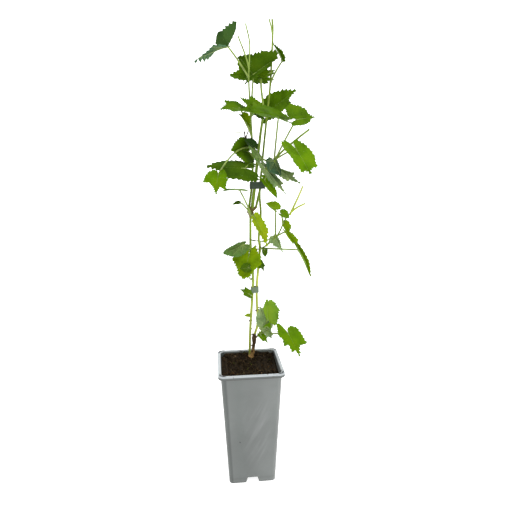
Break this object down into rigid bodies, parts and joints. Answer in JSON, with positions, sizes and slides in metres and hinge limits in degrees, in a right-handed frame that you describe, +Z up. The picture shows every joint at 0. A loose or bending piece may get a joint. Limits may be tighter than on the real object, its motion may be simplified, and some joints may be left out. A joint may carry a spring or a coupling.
{
  "type": "potted grapevine",
  "caption": "Young grapevine with slender green canes and lobed leaves, tied in two places, in a tall tapered square pot filled with soil.",
  "frame": {"origin": "middle of the flat underside of the pot", "axes": "+Z up, +Y towards the back of the plant, +X to the right seen from the front"},
  "size_m": [0.2073, 0.1542, 0.8629],
  "materials": {
    "pot": "grey moulded plastic with a satin sheen, a brighter rounded lip and light scuffs",
    "soil": "moist dark compost, crumbly, with small paler fibres",
    "old_wood": "dull brown flaking bark",
    "green_cane": "smooth green young wood with brown streaks, slightly shiny",
    "tape": "dark green soft plant tape, low sheen",
    "foliage": "yellow green to mid green leaves with paler veins, slightly shiny on top and matt blue green underneath"
  },
  "bodies": {
    "root": {"pot": "pot", "soil": "soil", "trunk": "old_wood", "knot": "old_wood", "left_cane_lower": "green_cane", "left_cane_upper": "green_cane", "right_cane_lower": "green_cane", "right_cane_upper": "green_cane", "tall_cane": "green_cane", "middle_cane": "green_cane", "side_cane": "green_cane", "upper_tie": "tape", "lower_tie": "tape", "low_right_leaves": "foliage", "low_left_leaves": "foliage", "mid_left_leaves": "foliage", "mid_right_leaves": "foliage", "knot_leaves": "foliage", "left_leaves": "foliage", "side_leaves": "foliage", "upper_left_leaves": "foliage", "upper_right_leaves": "foliage", "centre_leaves": "foliage", "top_left_leaves": "foliage", "top_right_leaves": "foliage"}
  },
  "joints": []
}
